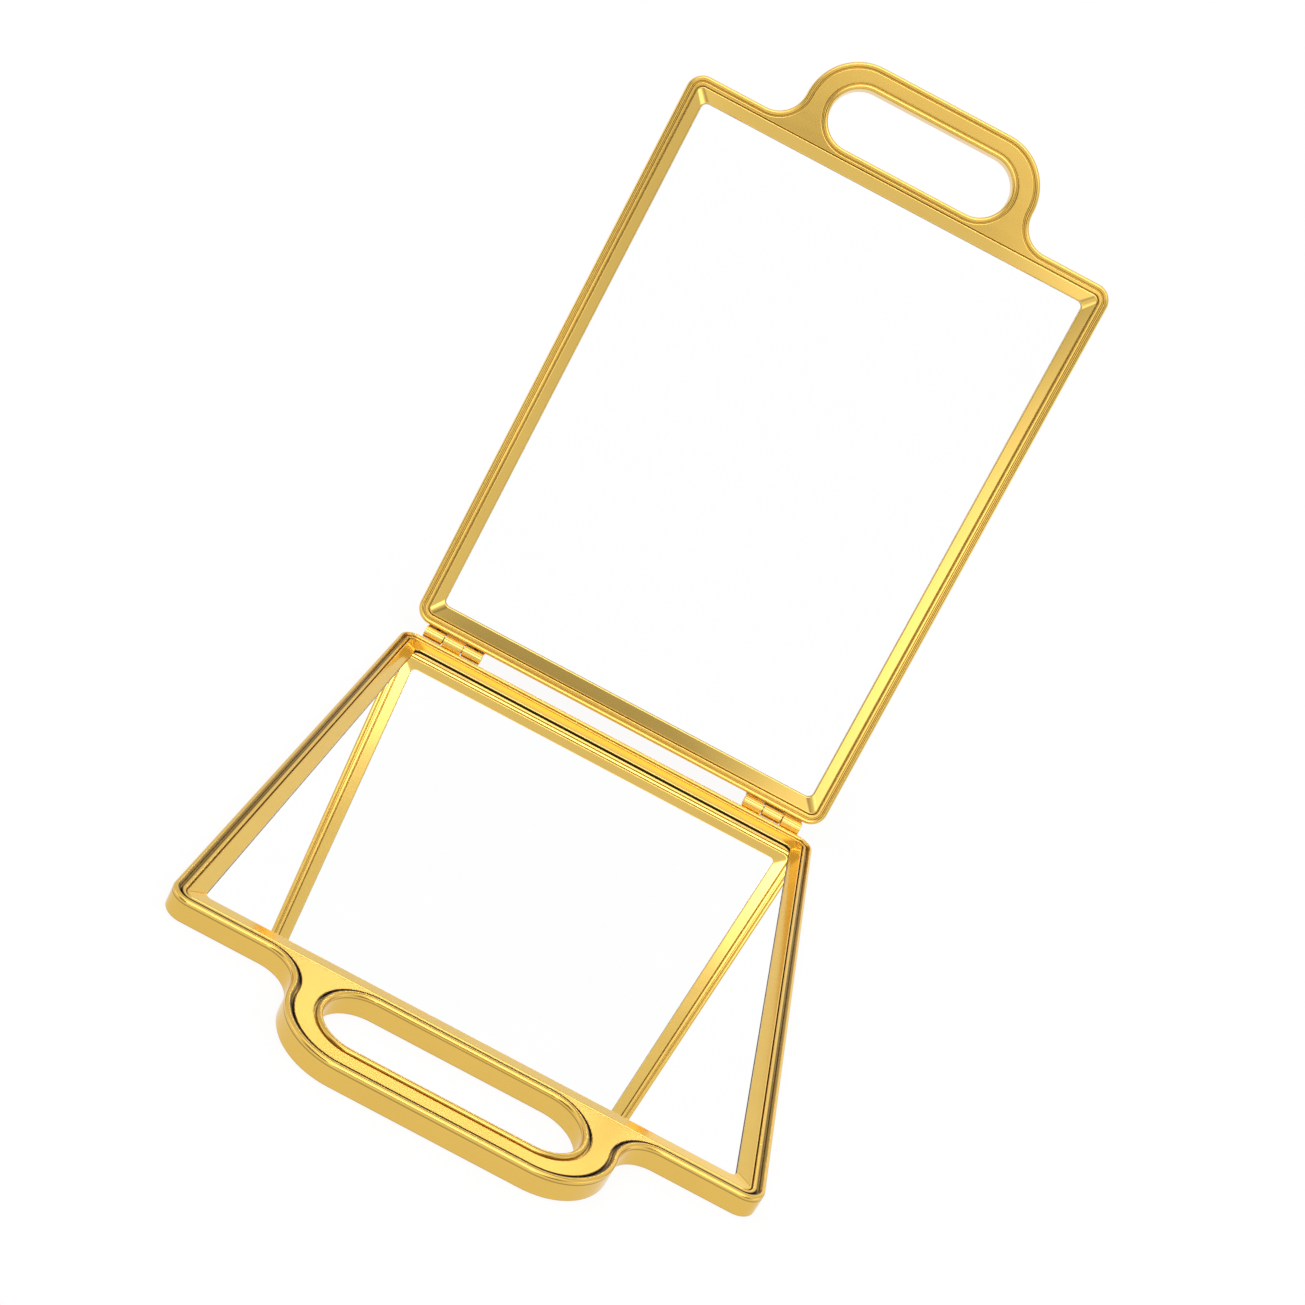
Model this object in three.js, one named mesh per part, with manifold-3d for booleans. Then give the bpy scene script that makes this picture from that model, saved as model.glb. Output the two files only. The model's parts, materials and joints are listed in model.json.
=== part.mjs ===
// Folding hand mirror: two identical gold mirror panels with loop handles, joined by two small butt hinges.
// Lengths are in millimetres and +Z is up. The base panel lies on its back with its mirror facing up, the
// hinge line runs along X behind it, and the lid panel stands up from the hinge line. The origin is the centre
// of the base panel's underside, handle left out.
import * as THREE from 'three';
import { mergeVertices } from 'three/addons/utils/BufferGeometryUtils.js';
import Module from 'manifold-3d';

const wasm = await Module();
wasm.setup();

// One panel, seen from its mirror side: length runs from the hinge wall to the handle end
const panelWidth = 200;
const panelLength = 261.5;
const cornerRadius = 7.5;
const backEdgeRadius = 0.8;

// Rim of the frame: a half-round bead, a crease, then the flat face
const beadRadius = 1.05;
const faceDrop = 0.8;
const creaseWidth = 0.35;
const creaseDepth = 0.5;
const faceStripEnd = 4.1;

// Loop handle round its finger slot, which dips a little into the panel's end
const slotLength = 84;
const slotHeight = 26.3;
const slotDip = 0.3;
const handleBarWidth = 10.6;
const handleSideWidth = 11.7;
const handleNeck = 0.3;

// Window that the bezel leaves open, as rail widths from the panel's walls
const sideRail = 9.4;
const hingeRail = 10.6;
const handleRail = 9.8;
const windowRadius = 2.6;
const bezelOuterDrop = 1;
const bezelInnerDrop = 1.8;
const bezelEdgeChamfer = 0.35;

// Layers from the rim's crest to the back, which make up the panel's thickness
const glassDrop = 2.9;
const glassThickness = 2;
const glassEdgeChamfer = 0.3;
const padThickness = 0.9;
const padInset = 4;
const coverThickness = 1.6;
const coverEdgeChamfer = 0.3;
const rebateWall = 2.6;
const innerWall = 6.8;
const innerWallRadius = 0.7;

// Clearances
const seatGap = 0.3;
const knuckleGap = 0.5;
const cutOverrun = 1;

// Hinges: rolled butt hinges screwed to the hinge walls
const openAngleDegrees = 102.45;
const axisToWall = 3;
const axisAboveBead = 1.4;
const hingeInset = 7.9;
const hingeLength = 27.4;
const leafThickness = 1;
const leafBottom = 1.4;
const leafNotch = 0.4;
const curlSeam = 0.4;
const pinEndChamfer = 0.3;
const pinOverhang = 0.2;

// Hinge screws, two in each leaf
const screwRadius = 0.8;
const screwLength = 4.6;
const screwHeadRadius = 1.5;
const screwHeadHeight = 0.8;
const screwHeadEdge = 0.35;
const screwSlotWidth = 0.4;
const screwSlotDepth = 0.4;
const screwTipChamfer = 0.3;

// Closing magnets in the handle-end rail
const magnetLength = 12;
const magnetWidth = 2.6;
const magnetThickness = 2;
const magnetInset = 26;

// Facets of one full turn or of one arc
const cornerSegments = 6;
const handleSegments = 8;
const slotSegments = 16;
const beadSegments = 6;
const edgeSegments = 2;
const roundSegments = 24;
const screwSegments = 16;

// Derived heights, from the panel's back, and places, from the hinge axis
const panelThickness = coverThickness + seatGap + padThickness + seatGap + glassThickness + glassDrop;
const halfWidth = panelWidth / 2;
const faceHeight = panelThickness - faceDrop;
const glassTop = panelThickness - glassDrop;
const glassBottom = glassTop - glassThickness;
const padTop = glassBottom - seatGap;
const shoulderHeight = coverThickness + seatGap;
const screwHeight = (shoulderHeight + glassTop) / 2;
const axisHeight = panelThickness + axisAboveBead;
const hingeWall = axisToWall;
const endWall = axisToWall + panelLength;
const slotEndRadius = slotHeight / 2;
const slotCentre = endWall - slotDip + slotEndRadius;
const handleHalfWidth = slotLength / 2 + handleSideWidth;
const handleCornerRadius = slotEndRadius + handleBarWidth;
const handleFilletRadius = slotEndRadius - slotDip - handleNeck;
const barrelRadius = axisToWall - seatGap;
const boreRadius = barrelRadius - leafThickness;
const pinRadius = boreRadius - seatGap;
const leafTop = axisHeight - barrelRadius - leafNotch;
const curlEnd = 2 * Math.PI - Math.acos((boreRadius - curlSeam) / barrelRadius);
const hingeOffset = halfWidth - hingeInset - hingeLength / 2;
const magnetOffset = halfWidth - magnetInset - magnetLength / 2;
const knuckleLength = (hingeLength - 2 * knuckleGap) / 3;
const knuckleStep = knuckleLength + knuckleGap;
const radiansPerDegree = Math.PI / 180;

// Looks of the plated and bare pieces
function finish(color, roughness, metalness) {
  return new THREE.MeshStandardMaterial({ color, roughness, metalness });
}
const looks = {
  frame: () => finish(0xd8a93f, 0.16, 1),
  bezel: () => finish(0xdfb24a, 0.2, 1),
  hinge: () => finish(0xd9a944, 0.18, 1),
  pin: () => finish(0xc9a04a, 0.25, 1),
  screw: () => finish(0xc79a3c, 0.25, 1),
  glass: () => finish(0xf2f5f6, 0.03, 1),
  pad: () => finish(0x3b3c3d, 0.95, 0),
  cover: () => finish(0xd4a540, 0.22, 1),
  magnet: () => finish(0x9b9ea3, 0.35, 1),
};

function mesh(name, geometry, material) {
  const made = new THREE.Mesh(geometry, material);
  made.name = name;
  return made;
}

// Closed meshes as solids, for cutting and joining
function toSolid(geometry) {
  const bare = geometry.clone();
  bare.deleteAttribute('normal');
  bare.deleteAttribute('uv');
  const merged = mergeVertices(bare);
  return new wasm.Manifold(new wasm.Mesh({
    numProp: 3,
    vertProperties: new Float32Array(merged.attributes.position.array),
    triVerts: new Uint32Array(merged.index.array),
  }));
}

function toGeometry(solid) {
  const result = solid.getMesh();
  const geometry = new THREE.BufferGeometry();
  geometry.setAttribute('position', new THREE.BufferAttribute(new Float32Array(result.vertProperties), 3));
  geometry.setIndex(new THREE.BufferAttribute(new Uint32Array(result.triVerts), 1));
  geometry.computeVertexNormals();
  return geometry;
}

// An outline is a list of rims: points with the unit direction that points out of the material there
function arcRims(centreX, centreY, radius, fromDegrees, toDegrees, segments, side) {
  const rims = [];
  for (let step = 0; step <= segments; step += 1) {
    const angle = (fromDegrees + (toDegrees - fromDegrees) * step / segments) * radiansPerDegree;
    const across = Math.cos(angle);
    const along = Math.sin(angle);
    rims.push({
      x: centreX + radius * across,
      y: centreY + radius * along,
      outX: across * side,
      outY: along * side,
    });
  }
  return rims;
}

// The panel's outline with its handle, anticlockwise
function panelOutline() {
  const cornerX = halfWidth - cornerRadius;
  const nearY = hingeWall + cornerRadius;
  const farY = endWall - cornerRadius;
  const filletX = handleHalfWidth + handleFilletRadius;
  const filletY = endWall + handleFilletRadius;
  const bendX = handleHalfWidth - handleCornerRadius;
  const bendY = slotCentre;
  return [
    ...arcRims(-cornerX, nearY, cornerRadius, 180, 270, cornerSegments, 1),
    ...arcRims(cornerX, nearY, cornerRadius, 270, 360, cornerSegments, 1),
    ...arcRims(cornerX, farY, cornerRadius, 0, 90, cornerSegments, 1),
    ...arcRims(filletX, filletY, handleFilletRadius, 270, 180, cornerSegments, -1),
    ...arcRims(bendX, bendY, handleCornerRadius, 0, 90, handleSegments, 1),
    ...arcRims(-bendX, bendY, handleCornerRadius, 90, 180, handleSegments, 1),
    ...arcRims(-filletX, filletY, handleFilletRadius, 0, -90, cornerSegments, -1),
    ...arcRims(-cornerX, farY, cornerRadius, 90, 180, cornerSegments, 1),
  ];
}

// The finger slot's outline, clockwise, because it bounds a hole
function slotOutline() {
  const endX = slotLength / 2 - slotEndRadius;
  return [
    ...arcRims(endX, slotCentre, slotEndRadius, 90, -90, slotSegments, -1),
    ...arcRims(-endX, slotCentre, slotEndRadius, 270, 90, slotSegments, -1),
  ];
}

// A loop of points at one height, stepped into the material from an outline
function insetLoop(outline, inset, height) {
  return outline.map((rim) => new THREE.Vector3(rim.x - rim.outX * inset, rim.y - rim.outY * inset, height));
}

// A rectangle with rounded corners, anticlockwise, at one height
function rectangleLoop(halfX, lowY, highY, radius, height) {
  const cornerX = halfX - radius;
  const outline = [
    ...arcRims(-cornerX, lowY + radius, radius, 180, 270, cornerSegments, 1),
    ...arcRims(cornerX, lowY + radius, radius, 270, 360, cornerSegments, 1),
    ...arcRims(cornerX, highY - radius, radius, 0, 90, cornerSegments, 1),
    ...arcRims(-cornerX, highY - radius, radius, 90, 180, cornerSegments, 1),
  ];
  return insetLoop(outline, 0, height);
}

// The rectangle that lies one inset in from all four walls of the panel's body
function bodyLoop(inset, height) {
  const radius = cornerRadius - inset;
  return rectangleLoop(halfWidth - inset, hingeWall + inset, endWall - inset, radius, height);
}

// The same rectangle with the tight corners of the glass seat
function seatLoop(inset, height) {
  return rectangleLoop(halfWidth - inset, hingeWall + inset, endWall - inset, innerWallRadius, height);
}

function windowLoop(height) {
  return rectangleLoop(halfWidth - sideRail, hingeWall + hingeRail, endWall - handleRail, windowRadius, height);
}

function pushTriangle(positions, a, b, c) {
  positions.push(a.x, a.y, a.z, b.x, b.y, b.z, c.x, c.y, c.z);
}

// Joins each loop to the next with a strip of triangles
function pushBands(positions, loops) {
  for (let level = 1; level < loops.length; level += 1) {
    const low = loops[level - 1];
    const high = loops[level];
    low.forEach((point, index) => {
      const next = (index + 1) % low.length;
      pushTriangle(positions, point, low[next], high[next]);
      pushTriangle(positions, point, high[next], high[index]);
    });
  }
}

// Closes the plane between a loop and the holes in it, facing up or down
function pushFlat(positions, contour, holes, facesUp) {
  const points = [contour, ...holes].flat();
  THREE.ShapeUtils.triangulateShape(contour, holes).forEach(([first, second, third]) => {
    const a = points[first];
    const b = points[second];
    const c = points[third];
    const turnsLeft = (b.x - a.x) * (c.y - a.y) - (b.y - a.y) * (c.x - a.x) > 0;
    if (turnsLeft === facesUp) {
      pushTriangle(positions, a, b, c);
    } else {
      pushTriangle(positions, a, c, b);
    }
  });
}

function closedGeometry(positions) {
  const geometry = new THREE.BufferGeometry();
  geometry.setAttribute('position', new THREE.Float32BufferAttribute(positions, 3));
  const merged = mergeVertices(geometry);
  merged.computeVertexNormals();
  return merged;
}

// A plate between two heights, with its edge chamfered at the top, the bottom or both
function plateGeometry(loopAt, inset, bottom, top, bottomChamfer, topChamfer) {
  const loops = [
    loopAt(inset + bottomChamfer, bottom),
    loopAt(inset, bottom + bottomChamfer),
    loopAt(inset, top - topChamfer),
    loopAt(inset + topChamfer, top),
  ];
  const positions = [];
  pushBands(positions, loops);
  pushFlat(positions, loops[0], [], false);
  pushFlat(positions, loops[loops.length - 1], [], true);
  return closedGeometry(positions);
}

// Section of the rim: back edge, wall, half-round bead, crease and the edge of the flat face,
// as steps into the material and heights
function rimSection() {
  const steps = [];
  for (let step = 0; step <= edgeSegments; step += 1) {
    const angle = Math.PI / 2 * step / edgeSegments;
    steps.push([backEdgeRadius - backEdgeRadius * Math.sin(angle), backEdgeRadius - backEdgeRadius * Math.cos(angle)]);
  }
  for (let step = 0; step <= beadSegments; step += 1) {
    const angle = Math.PI * step / beadSegments;
    const height = panelThickness - beadRadius + beadRadius * Math.sin(angle);
    steps.push([beadRadius - beadRadius * Math.cos(angle), height]);
  }
  const creaseStart = 2 * beadRadius;
  const creaseEnd = creaseStart + creaseWidth;
  steps.push([creaseStart, faceHeight - creaseDepth]);
  steps.push([creaseEnd, faceHeight - creaseDepth]);
  steps.push([creaseEnd, faceHeight]);
  return steps;
}

// The outer frame is one casting: rim, handle, bezel ledge and back rebate
function frameGeometry(screwPlaces, magnetPlaces) {
  const section = rimSection();
  const rimLoops = section.map(([inset, height]) => insetLoop(panelOutline(), inset, height));
  const slotLoops = section.map(([inset, height]) => insetLoop(slotOutline(), inset, height));
  const seatLoops = [
    bodyLoop(rebateWall, 0),
    bodyLoop(rebateWall, shoulderHeight),
    seatLoop(innerWall, shoulderHeight),
    seatLoop(innerWall, glassTop),
    bodyLoop(faceStripEnd, glassTop),
    bodyLoop(faceStripEnd, faceHeight),
  ].map((loop) => loop.reverse());
  const positions = [];
  [rimLoops, slotLoops, seatLoops].forEach((loops) => pushBands(positions, loops));
  const last = section.length - 1;
  pushFlat(positions, rimLoops[0], [slotLoops[0], seatLoops[0]], false);
  pushFlat(positions, rimLoops[last], [slotLoops[last], seatLoops[seatLoops.length - 1]], true);

  let solid = toSolid(closedGeometry(positions));
  screwPlaces.forEach((place) => {
    const depth = screwLength + seatGap + cutOverrun;
    const hole = new THREE.CylinderGeometry(screwRadius + seatGap, screwRadius + seatGap, depth, screwSegments);
    hole.translate(place, hingeWall - cutOverrun + depth / 2, screwHeight);
    solid = solid.subtract(toSolid(hole));
  });
  magnetPlaces.forEach((place) => {
    const depth = magnetThickness + seatGap + cutOverrun;
    const pocket = new THREE.BoxGeometry(magnetLength + 2 * seatGap, magnetWidth + 2 * seatGap, depth);
    pocket.translate(place, magnetLine(), shoulderHeight - cutOverrun + depth / 2);
    solid = solid.subtract(toSolid(pocket));
  });
  return toGeometry(solid);
}

// Middle of the handle-end rail between the back rebate and the glass
function magnetLine() {
  return endWall - (rebateWall + innerWall) / 2;
}

// Sloping inner ring that frames the glass and leaves a fine joint line to the frame
function bezelGeometry() {
  const outerInset = faceStripEnd + seatGap;
  const bottom = glassTop + seatGap;
  const outerTop = panelThickness - bezelOuterDrop;
  const innerTop = panelThickness - bezelInnerDrop;
  const loops = [
    windowLoop(bottom),
    bodyLoop(outerInset, bottom),
    bodyLoop(outerInset, outerTop - bezelEdgeChamfer),
    bodyLoop(outerInset + bezelEdgeChamfer, outerTop),
    windowLoop(innerTop),
    windowLoop(bottom),
  ];
  const positions = [];
  pushBands(positions, loops);
  return closedGeometry(positions);
}

function magnetGeometry(place) {
  const geometry = new THREE.BoxGeometry(magnetLength, magnetWidth, magnetThickness);
  geometry.translate(place, magnetLine(), shoulderHeight + magnetThickness / 2);
  return geometry;
}

// Extrudes a section drawn across the hinge line, y then z, along x between two places
function alongHinge(shape, fromX, toX) {
  const geometry = new THREE.ExtrudeGeometry(shape, {
    depth: toX - fromX,
    bevelEnabled: false,
    curveSegments: roundSegments,
  });
  const turn = new THREE.Matrix4().makeBasis(
    new THREE.Vector3(0, 1, 0),
    new THREE.Vector3(0, 0, 1),
    new THREE.Vector3(1, 0, 0),
  );
  geometry.applyMatrix4(turn);
  geometry.translate(fromX, 0, 0);
  return geometry;
}

// Sheet that rises from the leaf and curls round the pin; the curl's end stops just short of the sheet
function knuckleShape() {
  const shape = new THREE.Shape();
  shape.moveTo(boreRadius, leafBottom);
  shape.lineTo(barrelRadius, leafBottom);
  shape.lineTo(barrelRadius, axisHeight);
  shape.absarc(0, axisHeight, barrelRadius, 0, curlEnd, false);
  shape.absarc(0, axisHeight, boreRadius, curlEnd, 0, true);
  shape.lineTo(boreRadius, leafBottom);
  return shape;
}

function leafShape() {
  const shape = new THREE.Shape();
  shape.moveTo(boreRadius, leafBottom);
  shape.lineTo(barrelRadius, leafBottom);
  shape.lineTo(barrelRadius, leafTop);
  shape.lineTo(boreRadius, leafTop);
  shape.closePath();
  return shape;
}

// One hinge leaf with its knuckles, which are counted in steps from the middle of the hinge
function leafGeometry(centreX, knuckleSteps, screwPlaces) {
  let solid = toSolid(alongHinge(leafShape(), centreX - hingeLength / 2, centreX + hingeLength / 2));
  knuckleSteps.forEach((step) => {
    const middle = centreX + step * knuckleStep;
    const knuckle = alongHinge(knuckleShape(), middle - knuckleLength / 2, middle + knuckleLength / 2);
    solid = solid.add(toSolid(knuckle));
  });
  screwPlaces.forEach((place) => {
    const depth = leafThickness + 2 * cutOverrun;
    const hole = new THREE.CylinderGeometry(screwRadius + seatGap, screwRadius + seatGap, depth, screwSegments);
    hole.translate(place, boreRadius + leafThickness / 2, screwHeight);
    solid = solid.subtract(toSolid(hole));
  });
  return toGeometry(solid);
}

// Pan-head screw through the leaf into the frame's hinge wall, with a driver slot
function screwGeometry(place) {
  const seat = boreRadius - seatGap;
  const tip = hingeWall + screwLength;
  const profile = [
    new THREE.Vector2(0, seat - screwHeadHeight),
    new THREE.Vector2(screwHeadRadius - screwHeadEdge, seat - screwHeadHeight),
    new THREE.Vector2(screwHeadRadius, seat - screwHeadHeight + screwHeadEdge),
    new THREE.Vector2(screwHeadRadius, seat),
    new THREE.Vector2(screwRadius, seat),
    new THREE.Vector2(screwRadius, tip - screwTipChamfer),
    new THREE.Vector2(screwRadius - screwTipChamfer, tip),
    new THREE.Vector2(0, tip),
  ];
  const turned = new THREE.LatheGeometry(profile, screwSegments);
  const slot = new THREE.BoxGeometry(2 * screwHeadRadius + 2 * cutOverrun, 2 * screwSlotDepth, screwSlotWidth);
  slot.translate(0, seat - screwHeadHeight, 0);
  const geometry = toGeometry(toSolid(turned).subtract(toSolid(slot)));
  geometry.translate(place, 0, screwHeight);
  return geometry;
}

// Hinge pin with chamfered ends, turned about the hinge axis
function pinGeometry(centreX) {
  const reach = hingeLength / 2 + pinOverhang;
  const profile = [
    new THREE.Vector2(0, -reach),
    new THREE.Vector2(pinRadius - pinEndChamfer, -reach),
    new THREE.Vector2(pinRadius, pinEndChamfer - reach),
    new THREE.Vector2(pinRadius, reach - pinEndChamfer),
    new THREE.Vector2(pinRadius - pinEndChamfer, reach),
    new THREE.Vector2(0, reach),
  ];
  const geometry = new THREE.LatheGeometry(profile, roundSegments);
  geometry.rotateZ(-Math.PI / 2);
  geometry.translate(centreX, 0, axisHeight);
  return toGeometry(toSolid(geometry));
}

// Both panels are the same: one hinge leaf with two knuckles at the panel's left, one with a single knuckle at
// its right, so that each meets its counterpart when the panels face each other
function panel(name, leftName, rightName) {
  const group = new THREE.Group();
  const hinges = [
    { side: leftName, centreX: -hingeOffset, knuckleSteps: [-1, 1] },
    { side: rightName, centreX: hingeOffset, knuckleSteps: [0] },
  ];
  hinges.forEach((hinge) => {
    hinge.screws = [
      { end: 'a', place: hinge.centreX - knuckleStep },
      { end: 'b', place: hinge.centreX + knuckleStep },
    ];
  });
  const magnets = [
    { side: leftName, place: -magnetOffset },
    { side: rightName, place: magnetOffset },
  ];
  const screwPlaces = hinges.flatMap((hinge) => hinge.screws.map((screw) => screw.place));
  const magnetPlaces = magnets.map((magnet) => magnet.place);

  group.add(mesh(`${name}_frame`, frameGeometry(screwPlaces, magnetPlaces), looks.frame()));
  group.add(mesh(`${name}_bezel`, bezelGeometry(), looks.bezel()));
  const glass = plateGeometry(
    seatLoop, innerWall + seatGap, glassBottom, glassTop, glassEdgeChamfer, glassEdgeChamfer,
  );
  group.add(mesh(`${name}_mirror_glass`, glass, looks.glass()));
  const pad = plateGeometry(
    seatLoop, innerWall + seatGap + padInset, padTop - padThickness, padTop, 0, 0,
  );
  group.add(mesh(`${name}_foam_pad`, pad, looks.pad()));
  const cover = plateGeometry(
    bodyLoop, rebateWall + seatGap, 0, coverThickness, coverEdgeChamfer, 0,
  );
  group.add(mesh(`${name}_back_cover`, cover, looks.cover()));
  magnets.forEach(({ side, place }) => {
    group.add(mesh(`${name}_magnet_${side}`, magnetGeometry(place), looks.magnet()));
  });
  hinges.forEach(({ side, centreX, knuckleSteps, screws }) => {
    const places = screws.map((screw) => screw.place);
    group.add(mesh(`${side}_hinge_${name}_leaf`, leafGeometry(centreX, knuckleSteps, places), looks.hinge()));
    screws.forEach(({ end, place }) => {
      group.add(mesh(`${side}_hinge_${name}_screw_${end}`, screwGeometry(place), looks.screw()));
    });
  });
  group.position.z = -axisHeight;
  return group;
}

// Each panel hangs on a pivot at the hinge axis, so turning the pivot folds the mirror
function pivot(...children) {
  const group = new THREE.Group();
  group.add(...children);
  group.position.set(0, panelLength / 2 + axisToWall, axisHeight);
  return group;
}

const pins = new THREE.Group();
pins.add(mesh('right_hinge_pin', pinGeometry(-hingeOffset), looks.pin()));
pins.add(mesh('left_hinge_pin', pinGeometry(hingeOffset), looks.pin()));
pins.position.z = -axisHeight;

const base = pivot(panel('base', 'right', 'left'), pins);
base.rotation.z = Math.PI;

const lid = pivot(panel('lid', 'left', 'right'));
lid.rotation.x = Math.PI - openAngleDegrees * radiansPerDegree;

const foldingHandMirror = new THREE.Group();
foldingHandMirror.add(base, lid);

export default foldingHandMirror;
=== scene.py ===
"""Looks of the folding hand mirror: gold frames, silvered glass and small rolled hinges in a white studio."""

import json
import math

import bmesh
import bpy
from mathutils import Matrix, Vector
from mathutils.geometry import tessellate_polygon


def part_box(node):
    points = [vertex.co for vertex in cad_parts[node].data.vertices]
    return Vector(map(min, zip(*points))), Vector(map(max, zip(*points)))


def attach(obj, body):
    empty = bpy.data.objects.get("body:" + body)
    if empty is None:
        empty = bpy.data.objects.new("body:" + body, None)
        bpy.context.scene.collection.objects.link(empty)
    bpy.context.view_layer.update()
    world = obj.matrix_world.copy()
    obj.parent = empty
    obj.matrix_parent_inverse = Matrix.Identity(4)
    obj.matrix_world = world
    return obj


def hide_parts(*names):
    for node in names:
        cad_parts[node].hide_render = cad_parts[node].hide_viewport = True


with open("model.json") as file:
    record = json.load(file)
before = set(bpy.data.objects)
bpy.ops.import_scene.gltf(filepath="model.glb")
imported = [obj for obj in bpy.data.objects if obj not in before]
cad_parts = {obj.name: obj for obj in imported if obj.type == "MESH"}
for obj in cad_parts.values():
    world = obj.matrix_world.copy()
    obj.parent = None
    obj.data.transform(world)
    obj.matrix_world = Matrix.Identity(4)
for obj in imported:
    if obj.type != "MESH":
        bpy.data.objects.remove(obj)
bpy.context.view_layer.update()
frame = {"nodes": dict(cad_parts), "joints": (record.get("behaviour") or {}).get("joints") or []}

MM = 0.001

# Sizes read from the frame
PANEL_LOW, PANEL_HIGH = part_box("base_frame")
COVER_LOW, COVER_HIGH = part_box("base_back_cover")
GLASS_LOW, GLASS_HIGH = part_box("base_mirror_glass")
BEZEL_LOW, BEZEL_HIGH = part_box("base_bezel")
LEAF_LOW, LEAF_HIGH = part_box("left_hinge_base_leaf")
PIN_LOW, PIN_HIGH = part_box("left_hinge_pin")
SCREW_LOW, SCREW_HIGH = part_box("left_hinge_base_screw_a")
MAGNET_LOW, MAGNET_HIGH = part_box("base_magnet_left")
AXIS = Vector(frame["joints"][0]["pos_m"])

HALF_WIDTH = PANEL_HIGH.x
THICKNESS = PANEL_HIGH.z
HINGE_WALL = AXIS.y - PANEL_HIGH.y
HANDLE_TOP = AXIS.y - PANEL_LOW.y
AXIS_HEIGHT = AXIS.z
BARREL_RADIUS = LEAF_HIGH.z - AXIS.z
PIN_RADIUS = (PIN_HIGH.z - PIN_LOW.z) / 2
PIN_REACH = (PIN_HIGH.x - PIN_LOW.x) / 2
HINGE_LENGTH = LEAF_HIGH.x - LEAF_LOW.x
HINGE_OFFSET = -(LEAF_HIGH.x + LEAF_LOW.x) / 2
SCREW_HEAD_RADIUS = (SCREW_HIGH.z - SCREW_LOW.z) / 2
SCREW_HEIGHT = (SCREW_HIGH.z + SCREW_LOW.z) / 2
SCREW_TOP = AXIS.y - SCREW_HIGH.y
SCREW_TIP = AXIS.y - SCREW_LOW.y

# Panel, as the drawing of the part gives it
CLEARANCE = 0.3 * MM
CORNER_RADIUS = 7.5 * MM
BACK_EDGE_RADIUS = 0.8 * MM
BEAD_RADIUS = 1.05 * MM
FACE_DROP = 0.8 * MM
FACE_STRIP_END = 4.1 * MM
REBATE_WALL = 2.6 * MM
INNER_WALL = 6.8 * MM
SEAT_RADIUS = 0.7 * MM
SIDE_RAIL = 9.4 * MM
HINGE_RAIL = 10.6 * MM
HANDLE_RAIL = 9.8 * MM
WINDOW_RADIUS = 2.6 * MM
BEZEL_SLOPE = 0.8 * MM
HANDLE_BAR = 10.6 * MM
HANDLE_SIDE = 11.7 * MM
HANDLE_NECK = 0.3 * MM
SLOT_LENGTH = 84 * MM
SLOT_HEIGHT = 26.3 * MM
SLOT_DIP = 0.3 * MM
LEAF_THICKNESS = 1 * MM
KNUCKLE_GAP = 0.5 * MM
LEAF_NOTCH = 0.4 * MM
CURL_SEAM = 0.4 * MM
SCREW_RADIUS = 0.8 * MM
SCREW_HEAD_HEIGHT = 0.8 * MM
SCREW_SLOT_WIDTH = 0.4 * MM
SCREW_SLOT_DEPTH = 0.4 * MM
SCREW_DOME_SHARE = 0.8
SCREW_TIP_SHARE = 0.25
PIN_DOME_SHARE = 0.98

SLOT_END_RADIUS = SLOT_HEIGHT / 2
SLOT_CENTRE = HANDLE_TOP - HANDLE_BAR - SLOT_END_RADIUS
END_WALL = SLOT_CENTRE + SLOT_DIP - SLOT_END_RADIUS
FACE_HEIGHT = THICKNESS - FACE_DROP
SHOULDER_HEIGHT = COVER_HIGH.z + CLEARANCE
BORE_RADIUS = BARREL_RADIUS - LEAF_THICKNESS
KNUCKLE_LENGTH = (HINGE_LENGTH - 2 * KNUCKLE_GAP) / 3
KNUCKLE_STEP = KNUCKLE_LENGTH + KNUCKLE_GAP
LEAF_BOTTOM = LEAF_LOW.z
LEAF_TOP = AXIS_HEIGHT - BARREL_RADIUS - LEAF_NOTCH
CURL_END = 2 * math.pi - math.acos((BORE_RADIUS - CURL_SEAM) / BARREL_RADIUS)

# Fine shape that the visual model adds
GROOVE_WIDTH = 0.45 * MM
GROOVE_DEPTH = 0.5 * MM
FACE_EDGE = 0.4 * MM
BEZEL_EDGE = 0.5 * MM
LIP_EDGE = 0.5 * MM
PLATE_EDGE = 0.3 * MM
REBATE_EDGE = 0.25 * MM
SHEET_EDGE = 0.14 * MM
SUPPORT = 0.15 * MM
STRAIGHT_RUN = 3 * MM
WELD = 0.001 * MM
ARC_STEPS = 20
BEAD_STEPS = 20
EDGE_STEPS = 5
SHEET_EDGE_STEPS = 3
CURL_STEPS = 48
TURN_STEPS = 48
SHARP_DEGREES = 32

# Painted shade, mixed into the gold's colour: in the crease behind the bead, as a painted dark line under the
# bead that stands for a reflected dark band, and round the bezel's lip.
# Start and end give the insets between which it comes and goes, and turn gives the outward directions,
# from the hinge end to the handle end, over which it grows from its least to its full share.
PAINTED_SHADE_ATTRIBUTE = "crease"
CREASE_START = {"base": (1.1 * MM, 1.5 * MM), "lid": (1.9 * MM, 2.1 * MM)}
CREASE_END = {"base": (3.2 * MM, 2.95 * MM), "lid": (2.9 * MM, 2.6 * MM)}
CREASE_REACH = 0.35 * MM
CREASE_TURN = (-0.5, 0.3)
CREASE_ASIDE = 0.1
CREASE_UNDER = 0.6
CREASE_LID = 0.15
UNDER_BEAD = 6.5 * MM
UNDER_REACH = 0.35 * MM
# Painted shade on the bezel's inner lip wall, for the base and the lid
LIP_PAINTED_SHADE = {"base": 0.9, "lid": 0.4}

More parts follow.
